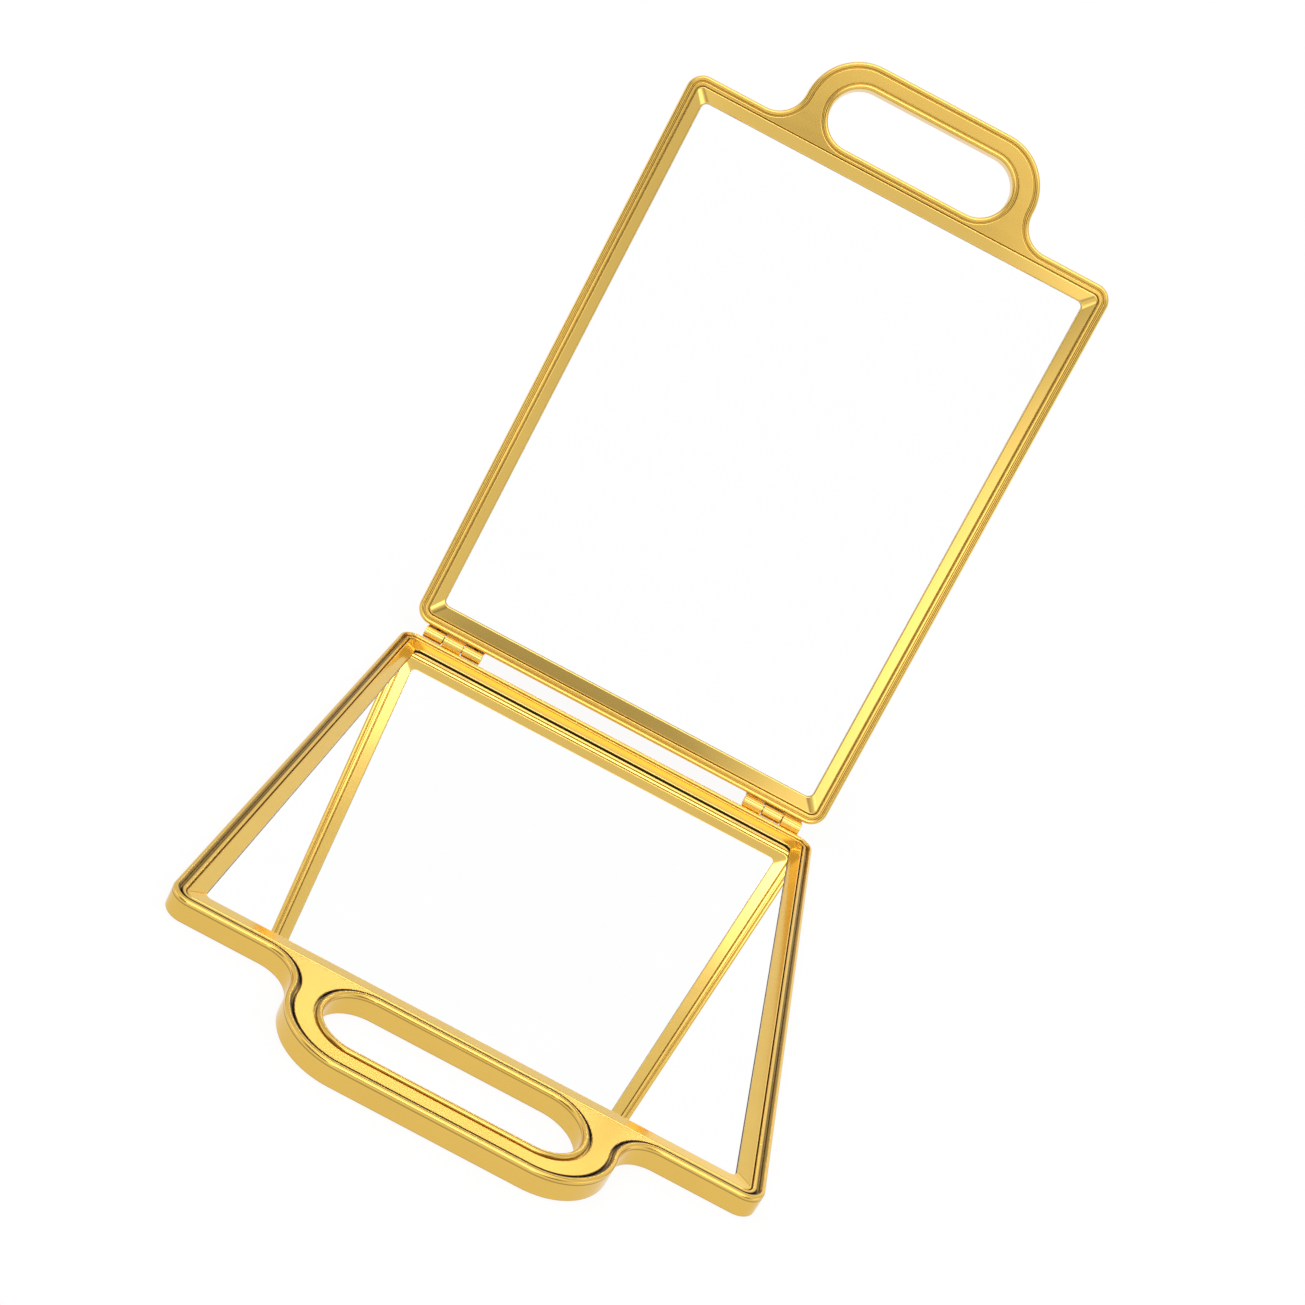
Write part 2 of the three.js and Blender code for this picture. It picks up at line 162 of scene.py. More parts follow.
BASE_PLACE = Matrix.Translation((0, AXIS.y, 0)) @ Matrix.Rotation(math.pi, 4, "Z")
LID_TURN = math.pi + math.radians(frame["joints"][0]["range_deg"][0])
LID_PLACE = (
    Matrix.Translation(AXIS)
    @ Matrix.Rotation(LID_TURN, 4, "X")
    @ Matrix.Translation((0, 0, -AXIS_HEIGHT))
)


# Outlines of one panel, seen from its mirror side, with y running from the hinge axis outwards

def arc_rims(centre_x, centre_y, radius, start, end, side):
    """Points of an arc, each with the direction that points out of the material."""
    rims = []
    for step in range(ARC_STEPS + 1):
        angle = math.radians(start + (end - start) * step / ARC_STEPS)
        across = math.cos(angle)
        along = math.sin(angle)
        rims.append((centre_x + radius * across, centre_y + radius * along, across * side, along * side))
    return rims


def with_supports(rims):
    """Adds a point near each end of every straight run, so that its shading stays straight."""
    supported = []
    for index, rim in enumerate(rims):
        following = rims[(index + 1) % len(rims)]
        run = Vector((following[0] - rim[0], following[1] - rim[1]))
        supported.append(rim)
        if run.length > STRAIGHT_RUN:
            step = run.normalized() * SUPPORT
            supported.append((rim[0] + step.x, rim[1] + step.y, rim[2], rim[3]))
            supported.append((following[0] - step.x, following[1] - step.y, following[2], following[3]))
    return supported


def panel_outline():
    """The rounded body and its loop handle, which meets it in an S-curve on each side."""
    corner_x = HALF_WIDTH - CORNER_RADIUS
    near_y = HINGE_WALL + CORNER_RADIUS
    far_y = END_WALL - CORNER_RADIUS
    half_handle = SLOT_LENGTH / 2 + HANDLE_SIDE
    corner = SLOT_END_RADIUS + HANDLE_BAR
    fillet = SLOT_END_RADIUS - SLOT_DIP - HANDLE_NECK
    fillet_x = half_handle + fillet
    fillet_y = END_WALL + fillet
    bend_x = half_handle - corner
    return with_supports(
        arc_rims(-corner_x, near_y, CORNER_RADIUS, 180, 270, 1)
        + arc_rims(corner_x, near_y, CORNER_RADIUS, 270, 360, 1)
        + arc_rims(corner_x, far_y, CORNER_RADIUS, 0, 90, 1)
        + arc_rims(fillet_x, fillet_y, fillet, 270, 180, -1)
        + arc_rims(bend_x, SLOT_CENTRE, corner, 0, 90, 1)
        + arc_rims(-bend_x, SLOT_CENTRE, corner, 90, 180, 1)
        + arc_rims(-fillet_x, fillet_y, fillet, 0, -90, -1)
        + arc_rims(-corner_x, far_y, CORNER_RADIUS, 90, 180, 1)
    )


def slot_outline():
    """The finger slot, with round ends."""
    end_x = SLOT_LENGTH / 2 - SLOT_END_RADIUS
    return with_supports(
        arc_rims(end_x, SLOT_CENTRE, SLOT_END_RADIUS, 90, -90, -1)
        + arc_rims(-end_x, SLOT_CENTRE, SLOT_END_RADIUS, 270, 90, -1)
    )


def rectangle(half_x, low_y, high_y, radius):
    """Rounded rectangle, anticlockwise."""
    corner_x = half_x - radius
    return with_supports(
        arc_rims(-corner_x, low_y + radius, radius, 180, 270, 1)
        + arc_rims(corner_x, low_y + radius, radius, 270, 360, 1)
        + arc_rims(corner_x, high_y - radius, radius, 0, 90, 1)
        + arc_rims(-corner_x, high_y - radius, radius, 90, 180, 1)
    )


def body_rectangle(inset):
    """The rounded rectangle one inset in from the walls of the panel's body."""
    radius = max(CORNER_RADIUS - inset, SEAT_RADIUS)
    return rectangle(HALF_WIDTH - inset, HINGE_WALL + inset, END_WALL - inset, radius)


def window_rectangle():
    """The opening of the bezel, through which the glass shows."""
    return rectangle(HALF_WIDTH - SIDE_RAIL, HINGE_WALL + HINGE_RAIL, END_WALL - HANDLE_RAIL, WINDOW_RADIUS)


def loop_at(rims, inset, height):
    """The outline moved into the material by the inset, at the height."""
    return [Vector((x - out_x * inset, y - out_y * inset, height)) for x, y, out_x, out_y in rims]


def quarter(inset_from, height_from, inset_to, height_to, rises_first):
    """Section points of a quarter turn, which sets off along the height or along the inset."""
    points = []
    for step in range(EDGE_STEPS + 1):
        angle = math.pi / 2 * step / EDGE_STEPS
        quick = math.sin(angle)
        slow = 1 - math.cos(angle)
        across, up = (slow, quick) if rises_first else (quick, slow)
        points.append((
            inset_from + (inset_to - inset_from) * across,
            height_from + (height_to - height_from) * up,
        ))
    return points


def rim_section():
    """Back edge, wall, half-round bead, groove and the soft edge of the flat face, as insets and heights."""
    bead_base = THICKNESS - BEAD_RADIUS
    bead_foot = 2 * BEAD_RADIUS
    groove_end = bead_foot + GROOVE_WIDTH
    floor = FACE_HEIGHT - GROOVE_DEPTH
    points = [(BACK_EDGE_RADIUS + SUPPORT, 0)]
    points += quarter(BACK_EDGE_RADIUS, 0, 0, BACK_EDGE_RADIUS, False)
    points += [
        (0, BACK_EDGE_RADIUS + SUPPORT),
        # Loops on the wall that carry the painted dark line under the bead
        (0, UNDER_BEAD - UNDER_REACH),
        (0, UNDER_BEAD),
        (0, UNDER_BEAD + UNDER_REACH),
    ]
    for step in range(BEAD_STEPS + 1):
        angle = math.pi * step / BEAD_STEPS
        inset = BEAD_RADIUS - BEAD_RADIUS * math.cos(angle)
        points.append((inset, bead_base + BEAD_RADIUS * math.sin(angle)))
    points += [(bead_foot, floor), (groove_end, floor)]
    points += quarter(groove_end, FACE_HEIGHT - FACE_EDGE, groove_end + FACE_EDGE, FACE_HEIGHT, True)
    points.append((groove_end + FACE_EDGE + SUPPORT, FACE_HEIGHT))
    # Loop where the painted shade behind the bead fades out
    points.append((groove_end + FACE_EDGE + CREASE_REACH, FACE_HEIGHT))
    return points


def seat_section():
    """Inner side of the frame: the back rebate, the shoulder, the bezel's ledge and the face's inner edge."""
    ledge = GLASS_HIGH.z
    points = [(REBATE_WALL - REBATE_EDGE - SUPPORT, 0)]
    points += quarter(REBATE_WALL - REBATE_EDGE, 0, REBATE_WALL, REBATE_EDGE, False)
    points += [
        (REBATE_WALL, SHOULDER_HEIGHT),
        (INNER_WALL, SHOULDER_HEIGHT),
        (INNER_WALL, ledge),
        (FACE_STRIP_END, ledge),
        (FACE_STRIP_END, FACE_HEIGHT - FACE_EDGE - SUPPORT),
    ]
    points += quarter(FACE_STRIP_END, FACE_HEIGHT - FACE_EDGE, FACE_STRIP_END - FACE_EDGE, FACE_HEIGHT, True)
    points.append((FACE_STRIP_END - FACE_EDGE - SUPPORT, FACE_HEIGHT))
    return points


def ramp(value, start, end):
    """0 up to the start, 1 from the end on, and even between them; the start may lie beyond the end."""
    return min(max((value - start) / (end - start), 0), 1)


def rim_painted_shade(panel, rims, inset, height):
    """How deep the painted shade is at one loop of the rim: behind the bead, and in a painted dark line under
    its outer side; fuller where the rim faces the handle end, and lighter on the lid.
    """
    behind = ramp(inset, *CREASE_START[panel]) * ramp(inset, *CREASE_END[panel])
    under = 0
    if inset == 0:
        under = CREASE_UNDER * ramp(abs(height - UNDER_BEAD), UNDER_REACH, 0)
    shades = []
    for x, y, out_x, out_y in rims:
        outer = CREASE_ASIDE + (1 - CREASE_ASIDE) * ramp(out_y, *CREASE_TURN)
        shades.append(max(behind, under) * (outer if panel == "base" else CREASE_LID))
    return shades


# Meshes

class Shell:
    """Collects the loops and faces of one closed piece and turns them into an object."""

    def __init__(self):
        self.points = []
        self.shades = []
        self.faces = []

    def add_loop(self, loop, shade):
        """Adds one ring of points with the depth of painted shade at each, and returns their indices."""
        first = len(self.points)
        self.points += loop
        self.shades += shade or [0] * len(loop)
        return list(range(first, len(self.points)))

    def loft(self, loops, closed=False, shades=None):
        """Joins each loop to the next, and the last to the first if closed, and returns their indices."""
        rings = [self.add_loop(loop, shades and shades[index]) for index, loop in enumerate(loops)]
        followers = rings[1:] + rings[:1] if closed else rings[1:]
        for low, high in zip(rings, followers):
            for index in range(len(low)):
                following = (index + 1) % len(low)
                self.faces.append((low[index], low[following], high[following], high[index]))
        return rings

    def fill(self, *rings):
        """Closes a plane bounded by the first ring, with the other rings as holes in it."""
        corners = [index for ring in rings for index in ring]
        outlines = [[self.points[index] for index in ring] for ring in rings]
        for triangle in tessellate_polygon(outlines):
            self.faces.append(tuple(corners[corner] for corner in triangle))

    def build(self, name, place):
        """Welds what meets, turns the faces outwards and puts the object in its place."""
        mesh = bpy.data.meshes.new(name)
        mesh.from_pydata([tuple(point) for point in self.points], [], self.faces)
        # The painted shade is kept on the points, where the gold's colour reads it
        mesh.attributes.new(PAINTED_SHADE_ATTRIBUTE, "FLOAT", "POINT").data.foreach_set("value", self.shades)
        edit = bmesh.new()
        edit.from_mesh(mesh)
        bmesh.ops.remove_doubles(edit, verts=edit.verts, dist=WELD)
        bmesh.ops.recalc_face_normals(edit, faces=edit.faces)
        edit.to_mesh(mesh)
        edit.free()
        smooth(mesh)
        piece = bpy.data.objects.new(name, mesh)
        piece.matrix_world = place
        bpy.context.scene.collection.objects.link(piece)
        return piece


def smooth(mesh):
    """Smooth shading, broken at real corners."""
    mesh.shade_smooth()
    mesh.set_sharp_from_angle(angle=math.radians(SHARP_DEGREES))


def cut(piece, cutters):
    """Takes the cutters out of a piece and deletes them."""
    for cutter in cutters:
        change = piece.modifiers.new("cut", "BOOLEAN")
        change.operation = "DIFFERENCE"
        change.solver = "EXACT"
        change.object = cutter
    bpy.context.view_layer.update()
    whole = piece.data
    seen = piece.evaluated_get(bpy.context.evaluated_depsgraph_get())
    piece.data = bpy.data.meshes.new_from_object(seen)
    piece.modifiers.clear()
    bpy.data.meshes.remove(whole)
    for cutter in cutters:
        bpy.data.objects.remove(cutter)
    smooth(piece.data)


def turned(profile, name, place, steps=TURN_STEPS):
    """Solid of revolution about the local y axis, from (radius, y) points; the ends are closed flat."""
    shell = Shell()
    loops = []
    for radius, along in profile:
        angles = [2 * math.pi * step / steps for step in range(steps)]
        loops.append([Vector((radius * math.cos(a), along, radius * math.sin(a))) for a in angles])
    rings = shell.loft(loops)
    shell.fill(rings[0])
    shell.fill(rings[-1])
    return shell.build(name, place)


def box_piece(low, high, name, place):
    """Block between two corners, only ever used to cut with."""
    shell = Shell()
    corners = [(low.x, low.y), (high.x, low.y), (high.x, high.y), (low.x, high.y)]
    rings = shell.loft([[Vector((x, y, z)) for x, y in corners] for z in (low.z, high.z)])
    shell.fill(rings[0])
    shell.fill(rings[1])
    return shell.build(name, place)


# The pieces of one panel

def frame_piece(panel, place):
    """The outer frame with its loop handle is one casting."""
    shell = Shell()
    outline = panel_outline()
    slot = slot_outline()
    section = rim_section()
    rings = []
    for rims in (outline, slot):
        loops = [loop_at(rims, inset, height) for inset, height in section]
        # Painted shade for every loop of the rim
        shades = [rim_painted_shade(panel, rims, inset, height) for inset, height in section]
        rings.append(shell.loft(loops, shades=shades))
    rim, hole = rings
    seat = shell.loft([loop_at(body_rectangle(inset), 0, height) for inset, height in seat_section()])
    shell.fill(rim[0], hole[0], seat[0])
    shell.fill(rim[-1], hole[-1], seat[-1])
    piece = shell.build(f"{panel}_frame_casting", place)
    cut(piece, screw_hole_cutters(place) + magnet_pocket_cutters(place))
    return piece


def screw_hole_cutters(place):
    """Clearance holes for the hinge screws."""
    radius = SCREW_RADIUS + CLEARANCE
    profile = [(radius, HINGE_WALL - CLEARANCE), (radius, SCREW_TIP + CLEARANCE)]
    cutters = []
    for centre in (-HINGE_OFFSET, HINGE_OFFSET):
        for step in (-KNUCKLE_STEP, KNUCKLE_STEP):
            spot = place @ Matrix.Translation((centre + step, 0, SCREW_HEIGHT))
            cutters.append(turned(profile, "screw_hole", spot))
    return cutters


def magnet_pocket_cutters(place):
    """Pockets for the closing magnets, open to the back rebate."""
    half = (MAGNET_HIGH - MAGNET_LOW) / 2
    middle_x = abs(MAGNET_HIGH.x + MAGNET_LOW.x) / 2
    middle_y = AXIS.y - (MAGNET_HIGH.y + MAGNET_LOW.y) / 2
    cutters = []
    for side in (-middle_x, middle_x):
        low = Vector((side - half.x - CLEARANCE, middle_y - half.y - CLEARANCE, SHOULDER_HEIGHT - CLEARANCE))
        high = Vector((side + half.x + CLEARANCE, middle_y + half.y + CLEARANCE, MAGNET_HIGH.z + CLEARANCE))
        cutters.append(box_piece(low, high, "magnet_pocket", place))
    return cutters


def bezel_piece(panel, place):
    """Sloping ring between the frame's face and the glass, with soft edges and painted shade on its inner lip
    wall.
    """
    outer = FACE_STRIP_END + CLEARANCE
    top = BEZEL_HIGH.z
    bottom = BEZEL_LOW.z
    lip = top - BEZEL_SLOPE
    window = window_rectangle()
    loops = [
        loop_at(body_rectangle(outer), 0, bottom),
        loop_at(body_rectangle(outer), 0, top - BEZEL_EDGE - SUPPORT),
    ]
    for inset, height in quarter(outer, top - BEZEL_EDGE, outer + BEZEL_EDGE, top, True):
        loops.append(loop_at(body_rectangle(inset), 0, height))
    outer_edge = loops[-1]
    inner_edge = loop_at(window, -LIP_EDGE, lip)
    slope_width = SIDE_RAIL - outer - BEZEL_EDGE - LIP_EDGE
    for share in (SUPPORT / slope_width, 1 - SUPPORT / slope_width):
        loops.append([start.lerp(end, share) for start, end in zip(outer_edge, inner_edge)])
    for inset, height in quarter(-LIP_EDGE, lip, 0, lip - LIP_EDGE, False):
        loops.append(loop_at(window, inset, height))
    # Painted shade: the inner lip wall becomes a dark line round the window, the rest of the ring gets none
    plain = [[0] * len(window)] * (len(loops) - 1)
    dark = [[LIP_PAINTED_SHADE[panel]] * len(window)] * 2
    loops.append(loop_at(window, 0, bottom))
    shell = Shell()
    shell.loft(loops, closed=True, shades=plain + dark)
    return shell.build(f"{panel}_bezel_ring", place)


def plate_piece(inset, low, high, low_edge, high_edge, name, place):
    """Rounded rectangular plate between two heights, with its lower and upper edges rounded."""
    section = [(inset + low_edge + SUPPORT, low)]
    section += quarter(inset + low_edge, low, inset, low + low_edge, False)
    section += quarter(inset, high - high_edge, inset + high_edge, high, True)
    section.append((inset + high_edge + SUPPORT, high))
    shell = Shell()
    rings = shell.loft([loop_at(body_rectangle(edge), 0, height) for edge, height in section])
    shell.fill(rings[0])
    shell.fill(rings[-1])
    return shell.build(name, place)


def glass_piece(panel, place):
    """The pane, with both of its edges rounded."""
    name = f"{panel}_silvered_glass"
    return plate_piece(
        INNER_WALL + CLEARANCE, GLASS_LOW.z, GLASS_HIGH.z, PLATE_EDGE, PLATE_EDGE, name, place,
    )


def cover_piece(panel, place):
    """The back cover, with its outer edge rounded and its inner edge only broken."""
    name = f"{panel}_cover_plate"
    return plate_piece(
        REBATE_WALL + CLEARANCE, COVER_LOW.z, COVER_HIGH.z, PLATE_EDGE, SHEET_EDGE, name, place,
    )


# Hinges

def sheet_path():
    """Middle of the leaf's sheet, from its bottom edge up and round the pin: y, z and outer direction."""
    middle = (BARREL_RADIUS + BORE_RADIUS) / 2
    path = [(middle, height, 1, 0) for height in (LEAF_BOTTOM, LEAF_TOP, AXIS_HEIGHT)]
    for step in range(1, CURL_STEPS + 1):
        angle = CURL_END * step / CURL_STEPS
        across = math.cos(angle)
        up = math.sin(angle)
        path.append((middle * across, AXIS_HEIGHT + middle * up, across, up))
    return path


def leaf_columns():
    """Places across the leaf where a knuckle begins or ends."""
    places = {-HINGE_LENGTH / 2, HINGE_LENGTH / 2}
    for step in (-1, 0, 1):
        places.update((step * KNUCKLE_STEP - KNUCKLE_LENGTH / 2, step * KNUCKLE_STEP + KNUCKLE_LENGTH / 2))
    return sorted(places)


def leaf_cells(columns, rows, knuckle_steps):
    """The cells of the sheet: its whole lowest row, and above that only the columns of its knuckles."""
    cells = set()
    for column in range(len(columns) - 1):
        middle = (columns[column] + columns[column + 1]) / 2
        rolled = any(abs(middle - step * KNUCKLE_STEP) < KNUCKLE_LENGTH / 2 for step in knuckle_steps)
        cells.update((column, row) for row in range(rows if rolled else 1))
    return cells


def rolled_sheet(name, centre, knuckle_steps, place):
    """The notched sheet, rolled round the pin: two faces to every cell, and walls where the cells end."""
    columns = leaf_columns()
    path = sheet_path()
    cells = leaf_cells(columns, len(path) - 1, knuckle_steps)
    edit = bmesh.new()
    corners = {}

    def corner(column, row, side):
        """The point of one face of the sheet, made when it is first needed."""
        key = (column, row, side)
        if key not in corners:
            y, z, out_y, out_z = path[row]
            reach = side * LEAF_THICKNESS / 2
            corners[key] = edit.verts.new((centre + columns[column], y + out_y * reach, z + out_z * reach))
        return corners[key]

    for column, row in cells:
        for side in (-1, 1):
            spots = ((column, row), (column + 1, row), (column + 1, row + 1), (column, row + 1))
            edit.faces.new([corner(a, b, side) for a, b in spots])
        walls = (
            ((column - 1, row), (column, row), (column, row + 1)),
            ((column + 1, row), (column + 1, row), (column + 1, row + 1)),
            ((column, row - 1), (column, row), (column + 1, row)),
            ((column, row + 1), (column, row + 1), (column + 1, row + 1)),
        )
        for neighbour, start, end in walls:
            if neighbour not in cells:
                edit.faces.new((corner(*start, -1), corner(*end, -1), corner(*end, 1), corner(*start, 1)))
    bmesh.ops.recalc_face_normals(edit, faces=edit.faces)
    mesh = bpy.data.meshes.new(name)
    edit.to_mesh(mesh)
    edit.free()
    mesh.shade_smooth()
    piece = bpy.data.objects.new(name, mesh)
    piece.matrix_world = place
    bpy.context.scene.collection.objects.link(piece)
    return piece


def leaf_piece(name, centre, knuckle_steps, place):
    """One hinge leaf: the rolled sheet with two screw holes and softened edges."""
    piece = rolled_sheet(name, centre, knuckle_steps, place)
    radius = SCREW_RADIUS + CLEARANCE
    profile = [(radius, 0), (radius, 2 * BARREL_RADIUS)]
    spots = [centre - KNUCKLE_STEP, centre + KNUCKLE_STEP]
    cut(piece, [
        turned(profile, "leaf_hole", place @ Matrix.Translation((spot, 0, SCREW_HEIGHT))) for spot in spots
    ])
    soften = piece.modifiers.new("soft_edges", "BEVEL")
    soften.width = SHEET_EDGE
    soften.segments = SHEET_EDGE_STEPS
    soften.limit_method = "ANGLE"
    soften.angle_limit = math.radians(SHARP_DEGREES)
    soften.harden_normals = True
    return piece


def pin_piece(name, centre, place):
    """Hinge pin with lightly domed ends."""
    dome = PIN_REACH - (PIN_REACH - HINGE_LENGTH / 2) * 2
    profile = []
    for side in (-1, 1):
        ends = []
        for step in range(EDGE_STEPS + 1):
            angle = math.pi / 2 * step / EDGE_STEPS
            radius = PIN_RADIUS * math.cos(angle * PIN_DOME_SHARE)
            ends.append((radius, side * (dome + (PIN_REACH - dome) * math.sin(angle))))
        profile += reversed(ends) if side < 0 else ends
    spot = place @ Matrix.Translation((centre, 0, AXIS_HEIGHT)) @ Matrix.Rotation(math.pi / 2, 4, "Z")
    return turned(profile, name, spot)


def screw_piece(name, x, place):
    """Pan-head screw with a domed, slotted head and a pointed shank."""
    seat = SCREW_TOP + SCREW_HEAD_HEIGHT
    profile = []
    for step in range(1, EDGE_STEPS + 2):
        angle = math.pi / 2 * step / (EDGE_STEPS + 1)
        rise = SCREW_HEAD_HEIGHT * SCREW_DOME_SHARE * (1 - math.cos(angle))
        profile.append((SCREW_HEAD_RADIUS * math.sin(angle), SCREW_TOP + rise))
    profile += [
        (SCREW_HEAD_RADIUS, seat),
        (SCREW_RADIUS, seat),
        (SCREW_RADIUS, SCREW_TIP - SCREW_RADIUS),
        (SCREW_RADIUS * SCREW_TIP_SHARE, SCREW_TIP),
    ]
    spot = place @ Matrix.Translation((x, 0, SCREW_HEIGHT))
    piece = turned(profile, name, spot)
    low = Vector((-2 * SCREW_HEAD_RADIUS, SCREW_TOP - CLEARANCE, -SCREW_SLOT_WIDTH / 2))
    high = Vector((2 * SCREW_HEAD_RADIUS, SCREW_TOP + SCREW_SLOT_DEPTH, SCREW_SLOT_WIDTH / 2))
    cut(piece, [box_piece(low, high, "driver_slot", spot)])
    return piece


# Materials

# Each gold's colour, its least and most roughness, and the strength of its polishing marks
GOLD_FINISHES = {
    "frame_gold": ((0.77, 0.5, 0.115), (0.15, 0.17), 0.15),
    "bezel_gold": ((0.79, 0.53, 0.135), (0.08, 0.1), 0.15),
    "cover_gold": ((0.74, 0.48, 0.13), (0.22, 0.4), 0.5),
    "hinge_gold": ((0.78, 0.51, 0.13), (0.14, 0.18), 0.15),
    "screw_gold": ((0.72, 0.47, 0.14), (0.15, 0.22), 0.2),
}
# Dark gold that the painted shade mixes into the colour
GOLD_PAINTED_SHADE = (0.05, 0.026, 0.008)
CLOUD_SHADE = 0.97
CLOUD_SIZE = 18 * MM
CLOUD_DETAIL = 2
WEAR_SIZE = 4 * MM
WEAR_DETAIL = 5
POLISH_SIZE = 1.2 * MM
POLISH_DETAIL = 3
POLISH_DEPTH = 0.001 * MM
POLISH_STRETCH = (0.15, 1, 1)
# Ambient occlusion that paints shade into the gold's colour in creases and corners
HOLLOW_REACH = 1.2 * MM
HOLLOW_SAMPLES = 12
AO_SHADE_DEPTH = 0.45
HOLLOW_OPEN = 0.9
SILVER = (0.996, 0.997, 0.997)
SILVER_HAZE = (0.990, 0.993, 0.993)
HAZE_SIZE = 30 * MM
HAZE_DETAIL = 4
GLASS_EDGE = (0.30, 0.52, 0.42)
GLASS_EDGE_PALE = (0.45, 0.64, 0.55)
GROUND_SIZE = 0.3 * MM
GROUND_DETAIL = 3
GROUND_ROUGHNESS = 0.35
GROUND_GRAIN = 0.4
FLAT_FACE = 0.999
FOAM_SKIN = (0.050, 0.050, 0.053)
FOAM_PORE_SHADE = (0.018, 0.018, 0.020)
FOAM_CELL = 0.5 * MM
FOAM_ROUGHNESS = 0.95
PORE_REACH = 0.6
PORE_GRAIN = 0.6
PORE_DEPTH_SHARE = 0.25
NICKEL = (0.62, 0.61, 0.58)
NICKEL_DULL = (0.50, 0.49, 0.47)
NICKEL_ROUGHNESS = (0.22, 0.36)
NICKEL_DETAIL = 4
NOISE_LOW = 0.3
NOISE_HIGH = 0.7


class Nodes:
    """Short way to add and link the nodes of one material or world."""

    def __init__(self, tree):
        self.tree = tree
        tree.nodes.clear()

    def add(self, kind, **settings):
        """A new node with its settings."""
        node = self.tree.nodes.new(kind)
        for key, value in settings.items():
            setattr(node, key, value)
        return node

    def link(self, output, socket):
        """Joins an output to an input."""
        self.tree.links.new(output, socket)

    def math(self, operation, first, second):
        """Math node on two values; each is a number or an output."""
        node = self.add("ShaderNodeMath", operation=operation)
        for value, socket in ((first, node.inputs[0]), (second, node.inputs[1])):
            if isinstance(value, (int, float)):
                socket.default_value = value
            else:
                self.link(value, socket)
        return node.outputs[0]

    def noise(self, coordinates, size, detail):
        """Noise whose features are about as large as the given size in metres."""
        node = self.add("ShaderNodeTexNoise")
        node.inputs["Scale"].default_value = 1 / size
        node.inputs["Detail"].default_value = detail
        self.link(coordinates, node.inputs["Vector"])
        return node.outputs["Fac"]

    def spread(self, value, low, high, from_low=NOISE_LOW, from_high=NOISE_HIGH):
        """Spreads a value over a new range, by default the range that noise mostly keeps to."""
        node = self.add("ShaderNodeMapRange")
        node.inputs["From Min"].default_value = from_low
        node.inputs["From Max"].default_value = from_high
        node.inputs["To Min"].default_value = low
        node.inputs["To Max"].default_value = high
        self.link(value, node.inputs["Value"])
        return node.outputs["Result"]

    def mix(self, factor, first, second):
        """Colour mix; each colour is a tuple or an output."""
        node = self.add("ShaderNodeMix", data_type="RGBA")
        self.link(factor, node.inputs["Factor"])
        for colour, socket in ((first, node.inputs["A"]), (second, node.inputs["B"])):
            if isinstance(colour, tuple):
                socket.default_value = (*colour, 1)
            else:
                self.link(colour, socket)
        return node.outputs["Result"]


def surface(name):
    """A new material with its shader, and the object coordinates of its piece."""
    material = bpy.data.materials.new(name)
    material.use_nodes = True
    nodes = Nodes(material.node_tree)
    shader = nodes.add("ShaderNodeBsdfPrincipled")
    output = nodes.add("ShaderNodeOutputMaterial")
    nodes.link(shader.outputs["BSDF"], output.inputs["Surface"])
    place = nodes.add("ShaderNodeTexCoord").outputs["Object"]
    return material, nodes, shader, place


def plated_gold(name, colour, roughness, marks_strength):
    """Polished plating: clouded colour, faint polishing marks, and painted shade in creases and corners, from
    ambient occlusion and from the shade stored on the mesh.
    """
    material, nodes, shader, place = surface(name)
    shader.inputs["Metallic"].default_value = 1
    # Painted shade: ambient occlusion and the shade stored on the mesh darken the colour towards the dark
    # gold
    hollow = nodes.add("ShaderNodeAmbientOcclusion", samples=HOLLOW_SAMPLES)
    hollow.inputs["Distance"].default_value = HOLLOW_REACH
    ao_painted_shade = nodes.spread(hollow.outputs["AO"], AO_SHADE_DEPTH, 0, 0, HOLLOW_OPEN)
    crease = nodes.add("ShaderNodeAttribute", attribute_type="GEOMETRY", attribute_name=PAINTED_SHADE_ATTRIBUTE)
    painted_shade_share = nodes.math("MAXIMUM", ao_painted_shade, crease.outputs["Fac"])
    cloud = nodes.spread(nodes.noise(place, CLOUD_SIZE, CLOUD_DETAIL), 0, 1)
    clouded = nodes.mix(cloud, colour, tuple(channel * CLOUD_SHADE for channel in colour))
    nodes.link(nodes.mix(painted_shade_share, clouded, GOLD_PAINTED_SHADE), shader.inputs["Base Color"])

    marks = nodes.add("ShaderNodeMapping")
    marks.inputs["Scale"].default_value = POLISH_STRETCH
    nodes.link(place, marks.inputs["Vector"])
    wear = nodes.noise(marks.outputs["Vector"], WEAR_SIZE, WEAR_DETAIL)
    nodes.link(nodes.spread(wear, *roughness), shader.inputs["Roughness"])
    bump = nodes.add("ShaderNodeBump")
    bump.inputs["Strength"].default_value = marks_strength
    bump.inputs["Distance"].default_value = POLISH_DEPTH
    nodes.link(nodes.noise(marks.outputs["Vector"], POLISH_SIZE, POLISH_DETAIL), bump.inputs["Height"])
    nodes.link(bump.outputs["Normal"], shader.inputs["Normal"])
    return material


def mirror_silver():
    """Silvered glass: a clean mirror with the faintest wiped haze."""
    material, nodes, shader, place = surface("mirror_silver")
    shader.inputs["Metallic"].default_value = 1
    haze = nodes.noise(place, HAZE_SIZE, HAZE_DETAIL)
    nodes.link(nodes.mix(nodes.spread(haze, 0, 1), SILVER, SILVER_HAZE), shader.inputs["Base Color"])
    shader.inputs["Roughness"].default_value = 0
    return material


